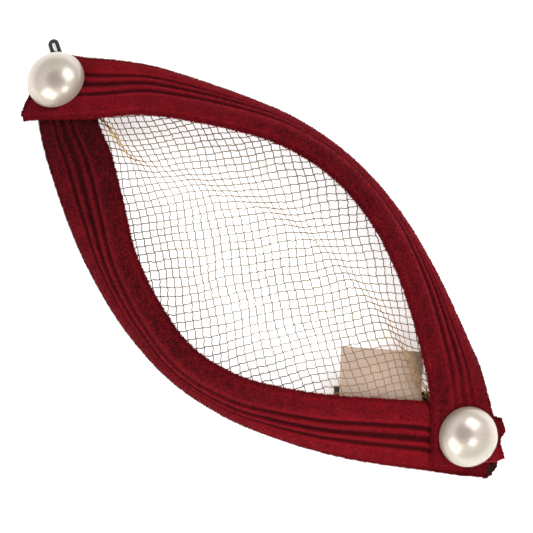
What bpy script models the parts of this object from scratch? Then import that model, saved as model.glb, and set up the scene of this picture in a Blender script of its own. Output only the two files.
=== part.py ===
"""A juliet cap: two pleated velvet bands that cross at both ends under pearl domes, with a net between them.

Metres, +Z up. The cap rests on the plane z = 0, crown up, long way along X, its box centred on the origin.
"""
import math
from collections import namedtuple

import bmesh
import bpy
from mathutils import Vector

# Driving sizes
PEARL_SPACING = 0.2300        # between the middles of the two pearls
CROWN_HEIGHT = 0.0300         # top of the head form above the surface that the cap rests on
SIDE_RADIUS = 0.1010          # curve of the head form from one band to the other
UPPER_REACH = 0.0443          # from the line of the pearls to the upper band's inner edge
LOWER_REACH = 0.0487          # from the line of the pearls to the lower band's inner edge
FOLD_WIDTH = 0.0096           # the wide rounded fold along each inner edge
PLEAT_WIDTH = 0.0164          # the narrow pleats and outer strip, laid flat
BAND_THICKNESS = 0.0028       # velvet and its stiffening at the top of a fold
CROSSING_THICKNESS = 0.0022   # the same, sewn down flat where the bands cross
TIP_THICKNESS = 0.0016        # the velvet alone, at the raw ends
GAP = 0.0003                  # clearance between pieces that touch
PEARL_DIAMETER = 0.0254
PEARL_HEIGHT = 0.0111
PEARL_BACK_EDGE = 0.0008      # rounding of the dome's back edge
NET_THICKNESS = 0.0012
NET_STRAND = 0.0016           # width of a strand of the coarse net
NET_TUCK = 0.0025             # net that lies under each band
RIDGE_HEIGHT = 0.0022         # soft ridge where the net was gathered
RIDGE_WIDTH = 0.0090
CORD_DIAMETER = 0.0017
LOOP_LENGTH = 0.0072
LOOP_WIDTH = 0.0030           # between the middles of the loop's two legs
LABEL_LENGTH = 0.0345
LABEL_WIDTH = 0.0248
LABEL_THICKNESS = 0.0010
LABEL_DROOP = 0.0020          # how far the label's free edge hangs below its sewn edge
TAPE_LENGTH = 0.0425
TAPE_WIDTH = 0.0080
TAPE_SLIDE = 0.0017            # how far its middle lies beyond the label's, towards the right end
HEM_WIDTH = 0.0035            # turned-over end of the upper band at the right
HEM_RISE = 0.0006
LOOP_HIDDEN = 0.0030          # cord of the loop that lies between the bands
LOOP_HEADING = math.radians(150)
LABEL_ALONG = 0.681           # middle of the label along the lower band, as a share of the half span
LABEL_TUCK = 0.0025           # label and tape that lie under the band
LABEL_RUN = 0.05              # share of the half span over which the band's direction is taken for them
NET_SAG = 0.0006              # how far the coarse net's straight strands lie inside the head form

HALF_SPAN = PEARL_SPACING / 2
STRIP_WIDTH = FOLD_WIDTH + PLEAT_WIDTH
BAND_STEPS = 40               # facets along each band
END_CROWDING = 0.075          # how far those facets draw together towards the band's ends
NET_CELLS_LONG = 10
NET_CELLS_WIDE = 5
NET_MOST_CLOSED = 0.35        # a small gap's strands take no more than this share of its size
PEARL_SIDES = 32
PEARL_RINGS = 8
LOOP_BEND_STEPS = 8
STRIP_CELLS = 6
SEWN_DOWN = 1.1               # how far the grooves fill up where the bands are sewn down
STEEPEST = 0.6                # slope of the head form at the crossings
FLOOR_BLEND = 0.0005          # how softly the undersides level out on the surface

# The head form along the line of the pearls: shares of the half span and of the crown's height.
ArchRow = namedtuple("ArchRow", "along height")
ARCH = [
    ArchRow(-1.15, -0.120),
    ArchRow(-1.08, -0.060),
    ArchRow(-1.04, 0.000),
    ArchRow(-1.00, 0.100),
    ArchRow(-0.90, 0.290),
    ArchRow(-0.79, 0.450),
    ArchRow(-0.52, 0.735),
    ArchRow(-0.26, 0.930),
    ArchRow(0.00, 1.000),
    ArchRow(0.26, 0.930),
    ArchRow(0.52, 0.735),
    ArchRow(0.80, 0.430),
    ArchRow(0.90, 0.290),
    ArchRow(1.00, 0.150),
    ArchRow(1.05, 0.070),
    ArchRow(1.10, -0.005),
    ArchRow(1.17, -0.070),
]

# Sections of a band. along and out place its inner edge, as shares of the half span and of the band's reach;
# heading is the way across the band in degrees, counted from +X towards that band's own side; spread is how far
# the pleats are opened, as a share of their width; turn is how much steeper than the head form they stand.
Section = namedtuple("Section", "along out heading spread turn")
UPPER_SECTIONS = [
    Section(-1.020, -0.50, 109, 1.39, 0),
    Section(-0.905, -0.27, 120, 1.20, 0),
    Section(-0.787, -0.03, 123, 1.06, 0),
    Section(-0.654, 0.30, 122, 0.95, 16),
    Section(-0.431, 0.65, 114, 0.90, 30),
    Section(-0.209, 0.91, 103, 0.92, 40),
    Section(0.013, 1.00, 90, 0.92, 46),
    Section(0.235, 0.91, 78, 0.92, 46),
    Section(0.456, 0.67, 66, 0.90, 40),
    Section(0.677, 0.31, 57, 0.92, 26),
    Section(0.832, -0.01, 53, 0.91, 0),
    Section(0.971, -0.41, 46, 1.28, 0),
]
LOWER_SECTIONS = [
    Section(-0.964, -0.37, 121, 1.04, 0),
    Section(-0.798, 0.02, 125, 0.89, 0),
    Section(-0.648, 0.21, 123, 1.02, 2),
    Section(-0.494, 0.46, 121, 0.98, 10),
    Section(-0.340, 0.71, 117, 0.92, 26),
    Section(-0.151, 0.90, 103, 0.86, 34),
    Section(0.053, 1.00, 90, 0.82, 42),
    Section(0.255, 0.91, 77, 0.82, 37),
    Section(0.399, 0.74, 69, 0.85, 26),
    Section(0.542, 0.525, 62, 0.92, 16),
    Section(0.684, 0.262, 60, 1.00, 2),
    Section(0.814, 0.018, 59, 1.05, 0),
    Section(1.060, -0.35, 61, 0.93, 0),
]

# The band's profile from its inner edge outwards: across is a share of the strip's width, rise a share of its
# thickness, and bend the share of a section's turn that the velvet has taken by there.
Crease = namedtuple("Crease", "name across rise bend")
PROFILE = [
    Crease("inner edge", 0.000, 0.38, 0.0),
    Crease("inner roll", 0.040, 0.82, 0.0),
    Crease("fold crest", 0.150, 1.00, 0.0),
    Crease("fold back", 0.270, 0.96, 0.1),
    Crease("fold lip", 0.345, 0.78, 0.3),
    Crease("first groove", 0.385, 0.34, 0.7),
    Crease("first pleat", 0.460, 0.80, 1.0),
    Crease("second groove", 0.550, 0.34, 1.0),
    Crease("second pleat", 0.630, 0.84, 1.0),
    Crease("third groove", 0.705, 0.34, 1.0),
    Crease("outer strip", 0.770, 0.74, 1.0),
    Crease("outer flat", 0.940, 0.70, 1.0),
    Crease("outer edge", 1.000, 0.38, 1.0),
]

# The ridge in the net, in the same shares; lift is a share of the ridge's height.
RidgeRow = namedtuple("RidgeRow", "along out lift")
RIDGE = [
    RidgeRow(-0.78, -0.10, 0.0),
    RidgeRow(-0.55, -0.12, 0.6),
    RidgeRow(-0.33, 0.05, 0.8),
    RidgeRow(0.01, 0.32, 1.0),
    RidgeRow(0.25, 0.34, 1.0),
    RidgeRow(0.53, 0.23, 0.8),
    RidgeRow(0.80, 0.02, 0.0),
]

# Where the upper band starts to climb and lies wholly on the lower one, and where the lower one thins out to its
# raw ends, as shares of the half span.
CROSSING_STARTS = 0.55
CROSSING_FULL = 0.76
TIP_STARTS = 0.98
TIP_FULL = 1.08

# Spots of a pearl's back that are tried against the velvet, as shares of its radius.
PEARL_SEAT_SPOTS = [(0, 0), (0.5, 0), (-0.5, 0), (0, 0.5), (0, -0.5), (1, 0), (-1, 0), (0, 1), (0, -1),
                    (0.7, 0.7), (0.7, -0.7), (-0.7, 0.7), (-0.7, -0.7)]


def smooth(rows, column, along):
    """Read a column of a table between its rows, on a smooth curve through them."""
    places = [row.along for row in rows]
    values = [getattr(row, column) for row in rows]
    if along <= places[0]:
        return values[0]
    if along >= places[-1]:
        return values[-1]
    last = len(rows) - 1
    i = next(k for k in range(last) if along < places[k + 1])

    def slope(k):
        a, b = max(k - 1, 0), min(k + 1, last)
        return (values[b] - values[a]) / (places[b] - places[a])

    step = places[i + 1] - places[i]
    t = (along - places[i]) / step
    return ((2 * t ** 3 - 3 * t ** 2 + 1) * values[i] + (t ** 3 - 2 * t ** 2 + t) * step * slope(i)
            + (3 * t ** 2 - 2 * t ** 3) * values[i + 1] + (t ** 3 - t ** 2) * step * slope(i + 1))


def ease(value, low, high):
    """Go smoothly from 0 at low to 1 at high."""
    t = min(1.0, max(0.0, (value - low) / (high - low)))
    return t * t * (3 - 2 * t)


def closer_at_ends(share):
    """Space equal steps from 0 to 1 more closely towards both ends."""
    return share - END_CROWDING * math.sin(2 * math.pi * share)


def level_out(height):
    """Keep a height above the resting surface, easing onto it within a small blend."""
    if height >= FLOOR_BLEND:
        return height
    if height <= -FLOOR_BLEND:
        return 0.0
    return (height + FLOOR_BLEND) ** 2 / (4 * FLOOR_BLEND)


def head_form(x, y):
    """Height of the head form that both bands and the net are shaped on."""
    return CROWN_HEIGHT * smooth(ARCH, "height", x / HALF_SPAN) - y * y / (2 * SIDE_RADIUS)


def inner_edge(sections, reach, side, along):
    """Plan position of a band's inner edge; side is 1 for the upper band and -1 for the lower one."""
    return Vector((along * HALF_SPAN, side * smooth(sections, "out", along) * reach))


def crossing(x):
    """0 along the open middle, 1 where the bands cross."""
    return ease(abs(x) / HALF_SPAN, CROSSING_STARTS, CROSSING_FULL)


def sewn_thickness(x):
    """Thickness of a band where it is sewn down, which falls to the velvet alone at its raw ends."""
    tip = ease(abs(x) / HALF_SPAN, TIP_STARTS, TIP_FULL)
    return CROSSING_THICKNESS + (TIP_THICKNESS - CROSSING_THICKNESS) * tip


def upper_lift(x):
    """How far the upper band rises to pass over the lower one, measured upwards on the steepest slope."""
    return (sewn_thickness(x) + GAP) * math.hypot(1, STEEPEST) * crossing(x)


def crossing_top(x, y):
    """Top of both bands where they cross."""
    return level_out(head_form(x, y)) + upper_lift(x) + sewn_thickness(x) * math.hypot(1, STEEPEST)


def band_section(sections, reach, side, along, raised):
    """Underside points of one section of a band, from its inner edge outwards."""
    start = inner_edge(sections, reach, side, along)
    heading = math.radians(smooth(sections, "heading", along))
    across = Vector((math.cos(heading), side * math.sin(heading)))
    spread = smooth(sections, "spread", along)
    turn = math.radians(max(0.0, smooth(sections, "turn", along)))
    tip = start + across * FOLD_WIDTH
    slope = math.atan2(head_form(start.x, start.y) - head_form(tip.x, tip.y), FOLD_WIDTH)
    points = []
    plan = fall = 0.0
    for i, crease in enumerate(PROFILE):
        if i:
            before = PROFILE[i - 1]
            width = (crease.across - before.across) * STRIP_WIDTH
            if crease.across * STRIP_WIDTH > FOLD_WIDTH:
                width *= spread
            angle = slope + turn * (crease.bend + before.bend) / 2
            plan += width * math.cos(angle)
            fall += width * (math.sin(angle) - math.cos(angle) * math.tan(slope))
        spot = start + across * plan
        height = level_out(head_form(spot.x, spot.y) - fall)
        if raised:
            height += upper_lift(spot.x)
        points.append(Vector((spot.x, spot.y, height)))
    return points


def material(name, color, roughness, metallic=0.0):
    made = bpy.data.materials.new(name)
    made.use_nodes = True
    shader = made.node_tree.nodes["Principled BSDF"]
    shader.inputs["Base Color"].default_value = (*color, 1.0)
    shader.inputs["Roughness"].default_value = roughness
    shader.inputs["Metallic"].default_value = metallic
    return made


def new_object(name, mesh, made_of, collection):
    thing = bpy.data.objects.new(name, mesh)
    mesh.materials.append(made_of)
    collection.objects.link(thing)
    return thing


def sheet_mesh(name, long_cells, wide_cells, place):
    """A grid whose vertex at column i and row j goes to a place, with its share of the wall's thickness."""
    grid = bmesh.new()
    bmesh.ops.create_grid(grid, x_segments=long_cells, y_segments=wide_cells, size=0.5)
    share = grid.verts.layers.deform.new()
    for vertex in grid.verts:
        i = round((vertex.co.x + 0.5) * long_cells)
        j = round((vertex.co.y + 0.5) * wide_cells)
        vertex.co, vertex[share][0] = place(i, j)
    mesh = bpy.data.meshes.new(name)
    grid.to_mesh(mesh)
    grid.free()
    return mesh


def thicken(thing, thickness, side):
    """Give an open sheet its wall, above it with side 1 and below it with side -1."""
    thing.vertex_groups.new(name="wall")
    wall = thing.modifiers.new("wall", "SOLIDIFY")
    wall.thickness = thickness
    wall.offset = side
    wall.vertex_group = "wall"


def pleated_band(name, sections, reach, side, raised, velvet, collection):
    """A band: its underside as a sheet, thickened by the relief of its folds and pleats."""
    first, last = sections[0].along, sections[-1].along
    rows = len(PROFILE) - 1
    places = [first + (last - first) * closer_at_ends(i / BAND_STEPS) for i in range(BAND_STEPS + 1)]
    columns = [band_section(sections, reach, side, along, raised) for along in places]

    def place(i, j):
        row = j if side > 0 else rows - j
        spot = columns[i][row]
        full = BAND_THICKNESS * PROFILE[row].rise
        flat = sewn_thickness(spot.x) * min(1.0, PROFILE[row].rise * SEWN_DOWN)
        hem = 0.0
        if raised:
            hem = HEM_RISE * ease(columns[i][0].x, columns[-1][0].x - HEM_WIDTH, columns[-1][0].x)
        thickness = full + (flat - full) * crossing(spot.x) + hem
        return spot, thickness / BAND_THICKNESS

    band = new_object(name, sheet_mesh(name, BAND_STEPS, rows, place), velvet, collection)
    thicken(band, BAND_THICKNESS, 1)
    return band


def net_height(x, y):
    """Top of the net: the head form, with the soft ridge that was gathered into it between the bands."""
    along = x / HALF_SPAN
    low = inner_edge(LOWER_SECTIONS, LOWER_REACH, -1, along).y
    high = inner_edge(UPPER_SECTIONS, UPPER_REACH, 1, along).y
    middle = smooth(RIDGE, "out", along) * UPPER_REACH
    lift = max(0.0, smooth(RIDGE, "lift", along)) * ease(min(y - low, high - y), 0, RIDGE_WIDTH)
    return head_form(x, y) - GAP + RIDGE_HEIGHT * lift * math.exp(-((y - middle) / RIDGE_WIDTH) ** 2)


def net_object(gold, collection):
    """A coarse diamond net: crossed cells drawn out of a grid, each opened to a gap, then thickened."""
    first, last = LOWER_SECTIONS[1].along, UPPER_SECTIONS[-2].along
    cells = bmesh.new()
    bmesh.ops.create_grid(cells, x_segments=NET_CELLS_LONG, y_segments=NET_CELLS_WIDE, size=0.5)
    straight = [edge for edge in cells.edges if not edge.is_boundary]
    bmesh.ops.poke(cells, faces=cells.faces[:])
    bmesh.ops.dissolve_edges(cells, edges=straight, use_verts=False)
    for vertex in cells.verts:
        along = first + (last - first) * (vertex.co.x + 0.5)
        low = inner_edge(LOWER_SECTIONS, LOWER_REACH, -1, along).y - NET_TUCK
        high = inner_edge(UPPER_SECTIONS, UPPER_REACH, 1, along).y + NET_TUCK
        x = along * HALF_SPAN
        y = low + (high - low) * (vertex.co.y + 0.5)
        vertex.co = (x, y, net_height(x, y))
    gaps = cells.faces[:]
    bmesh.ops.inset_individual(cells, faces=gaps, thickness=0.0)
    for gap in gaps:
        middle = gap.calc_center_median()
        size = 2 * gap.calc_area() / gap.calc_perimeter()
        share = min(NET_STRAND / 2 / size, NET_MOST_CLOSED)
        for vertex in gap.verts:
            vertex.co = vertex.co.lerp(middle, share)
    bmesh.ops.delete(cells, geom=gaps, context="FACES_ONLY")
    mesh = bpy.data.meshes.new("net")
    cells.to_mesh(mesh)
    cells.free()
    net = new_object("net", mesh, gold, collection)
    wall = net.modifiers.new("wall", "SOLIDIFY")
    wall.thickness = NET_THICKNESS
    wall.offset = -1
    return net


def pearl(name, x, shell, collection):
    """A domed button turned about its own axis, its flat back lying on the upper band's crossing."""
    radius = PEARL_DIAMETER / 2
    outline = bpy.data.meshes.new(name)
    edge = PEARL_BACK_EDGE
    profile = [Vector((0, 0, PEARL_HEIGHT))]
    for k in range(1, PEARL_RINGS + 1):
        angle = math.pi / 2 * (1 - k / PEARL_RINGS)
        profile.append(Vector((radius * math.cos(angle), 0, edge + (PEARL_HEIGHT - edge) * math.sin(angle))))
    profile.append(Vector((radius - edge * (1 - math.sqrt(0.5)), 0, edge * (1 - math.sqrt(0.5)))))
    profile.append(Vector((radius - edge, 0, 0)))
    profile.append(Vector((0, 0, 0)))
    outline.from_pydata(profile, [(k, k + 1) for k in range(len(profile) - 1)], [])
    button = new_object(name, outline, shell, collection)
    turn = button.modifiers.new("turned", "SCREW")
    turn.axis = "Z"
    turn.steps = turn.render_steps = PEARL_SIDES
    turn.use_merge_vertices = True
    turn.merge_threshold = 0.00001
    turn.use_normal_calculate = True

    far, near = crossing_top(x + radius, 0), crossing_top(x - radius, 0)
    slope = (far - near) / PEARL_DIAMETER
    level = max(crossing_top(x + dx * radius, dy * radius) - slope * dx * radius
                for dx, dy in PEARL_SEAT_SPOTS)
    up = Vector((-slope, 0, 1)).normalized()
    button.rotation_mode = "QUATERNION"
    button.rotation_quaternion = Vector((0, 0, 1)).rotation_difference(up)
    button.location = Vector((x, 0, level)) + up * GAP
    return button


def hair_loop(cord, collection):
    """A small loop of round cord that comes out from between the bands at the left end."""
    end = UPPER_SECTIONS[0]
    corner = band_section(UPPER_SECTIONS, UPPER_REACH, 1, end.along, True)[-1]
    way_out = Vector((math.cos(LOOP_HEADING), math.sin(LOOP_HEADING), 0))
    beside = Vector((-way_out.y, way_out.x, 0))
    root = Vector((corner.x, corner.y, 0)) - way_out * LOOP_HIDDEN - beside * LOOP_WIDTH
    height = upper_lift(corner.x) - GAP - CORD_DIAMETER / 2
    bend = LOOP_WIDTH / 2
    straight = LOOP_LENGTH - bend
    route = [root - beside * bend + way_out * straight * k / 3 for k in range(3)]
    for k in range(LOOP_BEND_STEPS + 1):
        angle = math.pi * k / LOOP_BEND_STEPS
        route.append(root + way_out * (straight + bend * math.sin(angle)) - beside * bend * math.cos(angle))
    route += [root + beside * bend + way_out * straight * k / 3 for k in (2, 1, 0)]
    curve = bpy.data.curves.new("hair_loop", "CURVE")
    curve.dimensions = "3D"
    spline = curve.splines.new("POLY")
    spline.points.add(len(route) - 1)
    for point, spot in zip(spline.points, route):
        point.co = (spot.x, spot.y, height, 1)
    curve.bevel_depth = CORD_DIAMETER / 2
    curve.bevel_resolution = 2
    curve.use_fill_caps = True
    return new_object("hair_loop", curve, cord, collection)


def sewn_strip(name, length, width, slide, depth, made_of, collection):
    """A flat piece along the lower band's inner edge: depth below the head form, its free edge drooping."""
    middle = inner_edge(LOWER_SECTIONS, LOWER_REACH, -1, LABEL_ALONG)
    near = inner_edge(LOWER_SECTIONS, LOWER_REACH, -1, LABEL_ALONG - LABEL_RUN)
    run = (middle - near).normalized()
    inward = Vector((-run.y, run.x))
    ends = [middle + run * LABEL_LENGTH / 2 * end for end in (-1, 1)]
    heights = [head_form(*end) for end in ends]
    rise = (heights[1] - heights[0]) / LABEL_LENGTH
    level = (heights[0] + heights[1]) / 2 - depth

    def place(i, j):
        off = (i / STRIP_CELLS - 0.5) * length + slide
        out = j * width
        spot = middle + run * off + inward * (out - LABEL_TUCK)
        return Vector((spot.x, spot.y, level + rise * off - LABEL_DROOP * out / LABEL_WIDTH)), 1.0

    strip = new_object(name, sheet_mesh(name, STRIP_CELLS, 1, place), made_of, collection)
    thicken(strip, LABEL_THICKNESS, -1)
    return strip


def stand_on_origin(collection):
    """Move the whole cap so that its box stands centred on the origin."""
    bpy.context.view_layer.update()
    graph = bpy.context.evaluated_depsgraph_get()
    corners = []
    for thing in collection.objects:
        shown = thing.evaluated_get(graph)
        mesh = shown.to_mesh()
        corners += [thing.matrix_world @ vertex.co for vertex in mesh.vertices]
        shown.to_mesh_clear()
    low = [min(corner[k] for corner in corners) for k in range(3)]
    high = [max(corner[k] for corner in corners) for k in range(3)]
    shift = Vector(((low[0] + high[0]) / 2, (low[1] + high[1]) / 2, low[2]))
    for thing in collection.objects:
        thing.location -= shift


def build():
    for thing in list(bpy.data.objects):
        bpy.data.objects.remove(thing)
    cap = bpy.data.collections.new("juliet_cap")
    bpy.context.scene.collection.children.link(cap)

    velvet = material("velvet", (0.20, 0.006, 0.016), 0.9)
    gold = material("gold_net", (0.55, 0.42, 0.24), 0.35, 0.9)
    shell = material("pearl", (0.80, 0.74, 0.67), 0.18)
    cord = material("cord", (0.012, 0.012, 0.012), 0.8)
    linen = material("label", (0.62, 0.48, 0.36), 0.8)
    tape = material("tape", (0.015, 0.012, 0.012), 0.7)

    pleated_band("lower_band", LOWER_SECTIONS, LOWER_REACH, -1, False, velvet, cap)
    pleated_band("upper_band", UPPER_SECTIONS, UPPER_REACH, 1, True, velvet, cap)
    net_object(gold, cap)
    pearl("pearl_left", -HALF_SPAN, shell, cap)
    pearl("pearl_right", HALF_SPAN, shell, cap)
    hair_loop(cord, cap)
    under_net = GAP + NET_THICKNESS + NET_SAG + GAP
    sewn_strip("label", LABEL_LENGTH, LABEL_WIDTH, 0.0, under_net, linen, cap)
    sewn_strip("label_tape", TAPE_LENGTH, TAPE_WIDTH, TAPE_SLIDE, under_net + LABEL_THICKNESS + GAP, tape, cap)
    stand_on_origin(cap)


build()
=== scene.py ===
"""The looks of a juliet cap: pleated velvet bands crossed under pearl domes, with a fine gold net between them.

Metres, +Z up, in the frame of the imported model. The cap rests on the floor at z = 0, its long way along X.
"""
import math
from collections import namedtuple

import bpy
import numpy as np
from mathutils import Matrix, Vector, noise


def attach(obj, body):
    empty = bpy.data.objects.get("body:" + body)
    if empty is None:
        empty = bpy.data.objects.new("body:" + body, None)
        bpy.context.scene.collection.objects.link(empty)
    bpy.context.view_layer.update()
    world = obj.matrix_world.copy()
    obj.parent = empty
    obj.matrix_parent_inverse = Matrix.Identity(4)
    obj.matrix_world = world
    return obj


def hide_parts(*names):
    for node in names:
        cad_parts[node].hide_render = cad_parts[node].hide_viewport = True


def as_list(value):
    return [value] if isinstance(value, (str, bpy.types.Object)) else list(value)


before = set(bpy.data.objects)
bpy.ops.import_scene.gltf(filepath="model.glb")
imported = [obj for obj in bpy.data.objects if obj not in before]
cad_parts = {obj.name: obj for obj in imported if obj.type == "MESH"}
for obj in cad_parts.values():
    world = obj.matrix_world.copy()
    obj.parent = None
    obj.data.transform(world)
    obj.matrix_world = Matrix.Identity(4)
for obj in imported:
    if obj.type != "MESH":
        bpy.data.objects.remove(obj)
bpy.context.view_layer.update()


# Studio. A pale sheet of board lies under the cap. The camera looks down almost squarely from a metre and a half,
# turned so that the cap runs from the upper left to the lower right. Its softboxes are what the pearls mirror.
TILT_ALONG, TILT_ACROSS = math.radians(7), math.radians(-8)
CAMERA_DISTANCE = 1.5
VIEW_WIDTH = 0.22386
CAMERA_TURN = math.radians(40.88)
AIM = Vector((0, 0, 0.012))
AIM_RIGHT, AIM_UP = 0.00302, -0.00186

toward = Vector((math.sin(TILT_ALONG), math.sin(TILT_ACROSS), 0))
toward.z = math.sqrt(1 - toward.length_squared)
along_cap = (Vector((1, 0, 0)) - toward.x * toward).normalized()
across_cap = toward.cross(along_cap)
right = along_cap * math.cos(CAMERA_TURN) + across_cap * math.sin(CAMERA_TURN)
up = across_cap * math.cos(CAMERA_TURN) - along_cap * math.sin(CAMERA_TURN)
lens = bpy.data.cameras.new("camera")
lens.sensor_width = 36
lens.lens = lens.sensor_width * CAMERA_DISTANCE / VIEW_WIDTH
lens.clip_end = 20
camera = bpy.data.objects.new("camera", lens)
bpy.context.scene.collection.objects.link(camera)
camera.matrix_world = Matrix((right, up, toward)).transposed().to_4x4()
camera.location = AIM + right * AIM_RIGHT + up * AIM_UP + toward * CAMERA_DISTANCE
bpy.context.scene.camera = camera
bpy.context.scene.view_settings.view_transform = "Standard"

Softbox = namedtuple("Softbox", "name along across distance width height watts")
SOFTBOXES = [
    Softbox("softbox_high", -4, 48, 1.1, 0.80, 0.70, 11.0),
    Softbox("softbox_low", -2, -52, 1.1, 1.04, 0.84, 13.0),
    Softbox("softbox_end", 34, 2, 2.2, 0.74, 0.74, 14.0),
]
for box in SOFTBOXES:
    light = bpy.data.lights.new(box.name, "AREA")
    light.shape = "RECTANGLE"
    light.size, light.size_y = box.width, box.height
    light.energy = box.watts
    lamp = bpy.data.objects.new(box.name, light)
    bpy.context.scene.collection.objects.link(lamp)
    way = (toward + along_cap * math.tan(math.radians(box.along))
           + across_cap * math.tan(math.radians(box.across))).normalized()
    side = along_cap - along_cap.dot(way) * way
    side.normalize()
    lamp.matrix_world = Matrix((side, way.cross(side), way)).transposed().to_4x4()
    lamp.location = AIM + way * box.distance

sky = bpy.data.worlds.new("studio")
sky.use_nodes = True
sky.node_tree.nodes["Background"].inputs["Color"].default_value = (1.0, 0.985, 0.97, 1)
sky.node_tree.nodes["Background"].inputs["Strength"].default_value = 0.36
bpy.context.scene.world = sky


class Wire:
    """A socket of a material. Arithmetic on it adds the Math nodes that work the expression out."""

    def __init__(self, tree, socket=None):
        self.tree, self.socket = tree, socket

    def node(self, kind, settings, inputs, output=0):
        """Add a node: its settings first, then a value or a link for each input that is named or numbered."""
        made = self.tree.nodes.new("ShaderNode" + kind)
        for key, value in settings.items():
            setattr(made, key, value)
        for key, value in inputs.items():
            if isinstance(value, Wire):
                self.tree.links.new(value.socket, made.inputs[key])
            else:
                made.inputs[key].default_value = value
        return Wire(self.tree, made.outputs[output])

    def maths(self, operation, first, second=0.0):
        return self.node("Math", {"operation": operation}, {0: first, 1: second})

    def __add__(self, other):
        return self.maths("ADD", self, other)

    def __radd__(self, other):
        return self.maths("ADD", other, self)

    def __sub__(self, other):
        return self.maths("SUBTRACT", self, other)

    def __mul__(self, other):
        return self.maths("MULTIPLY", self, other)

    def __rmul__(self, other):
        return self.maths("MULTIPLY", other, self)

    def mix(self, first, second):
        """A colour between two others, with this value as the share of the second."""
        return self.node("Mix", {"data_type": "RGBA"}, {0: self, 6: first, 7: second}, 2)

    def between(self, low, high):
        """0 below low, 1 above high, and smooth in between."""
        return self.node("MapRange", {"interpolation_type": "SMOOTHSTEP"},
                         {"Value": self, "From Min": low, "From Max": high})


def material(name, color, roughness, **constants):
    """A Principled material with its constant sockets set; gives it with its shader and a wire to build on."""
    made = bpy.data.materials.new(name)
    made.use_nodes = True
    made.diffuse_color = (*color, 1)
    shader = made.node_tree.nodes["Principled BSDF"]
    shader.inputs["Base Color"].default_value = (*color, 1)
    shader.inputs["Roughness"].default_value = roughness
    for key, value in constants.items():
        shader.inputs[key.replace("_", " ")].default_value = value
    return made, shader, Wire(made.node_tree)


def spots(wire, scale, detail=2.0, rough=0.5):
    """Cloudy noise on Object coordinates, scale in patches a metre."""
    place = wire.node("TexCoord", {}, {}, "Object")
    return wire.node("TexNoise", {}, {"Vector": place, "Scale": scale, "Detail": detail, "Roughness": rough},
                     "Fac")


def feed(wire, shader, socket):
    wire.tree.links.new(wire.socket, shader.inputs[socket])


def bumped(shader, height, distance, strength=1.0):
    """Let a height in the material stand out of the surface by a distance."""
    bump = height.node("Bump", {}, {"Height": height, "Distance": distance, "Strength": strength}, "Normal")
    feed(bump, shader, "Normal")


def start_primitive(add, **settings):
    """Add a primitive with nothing else selected, and give its object."""
    bpy.ops.object.select_all(action="DESELECT")
    add(**settings)
    return bpy.context.active_object


BOARD_SIZE = 6.0
board = start_primitive(bpy.ops.mesh.primitive_plane_add, size=BOARD_SIZE, location=(0, 0, -0.0001))
board.name = "floor"
paint, shader, wire = material("pale_board", (0.90, 0.90, 0.90), 0.9, Specular_IOR_Level=0.1,
                               Emission_Color=(1, 1, 1, 1), Emission_Strength=0.55)
grain = spots(wire, 900, 2)
bumped(shader, grain, 0.00005, 0.3)
board.data.materials.append(paint)


# Velvet bands. Each is one strip of crimson cotton velvet, backed with stiffening and pressed into a wide padded
# fold along the opening and narrow pleats behind it. They cross at both ends, sewn down flat under the pearls.
PEARL_SPACING = 0.2300
CROWN_HEIGHT = 0.0300
SIDE_RADIUS = 0.1010
UPPER_REACH = 0.0443
LOWER_REACH = 0.0487
FOLD_WIDTH = 0.0096
PLEAT_WIDTH = 0.0164
BAND_THICKNESS = 0.0028
CROSSING_THICKNESS = 0.0022
TIP_THICKNESS = 0.0016
GAP = 0.0003
HEM_WIDTH = 0.0035
HEM_RISE = 0.0006
SEWN_DOWN = 1.1
STEEPEST = 0.6
FLOOR_BLEND = 0.0005
CROSSING_STARTS, CROSSING_FULL = 0.55, 0.76
TIP_STARTS, TIP_FULL = 0.98, 1.08
CAP_SHIFT = Vector((-0.0014018, 0.0020320, 0))
HALF_SPAN = PEARL_SPACING / 2
STRIP_WIDTH = FOLD_WIDTH + PLEAT_WIDTH

ArchRow = namedtuple("ArchRow", "along height")
ARCH = [
    ArchRow(-1.15, -0.120), ArchRow(-1.08, -0.060), ArchRow(-1.04, 0.000), ArchRow(-1.00, 0.100),
    ArchRow(-0.90, 0.290), ArchRow(-0.79, 0.450), ArchRow(-0.52, 0.735), ArchRow(-0.26, 0.930),
    ArchRow(0.00, 1.000), ArchRow(0.26, 0.930), ArchRow(0.52, 0.735), ArchRow(0.80, 0.430),
    ArchRow(0.90, 0.290), ArchRow(1.00, 0.150), ArchRow(1.05, 0.070), ArchRow(1.10, -0.005),
    ArchRow(1.17, -0.070),
]

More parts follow.
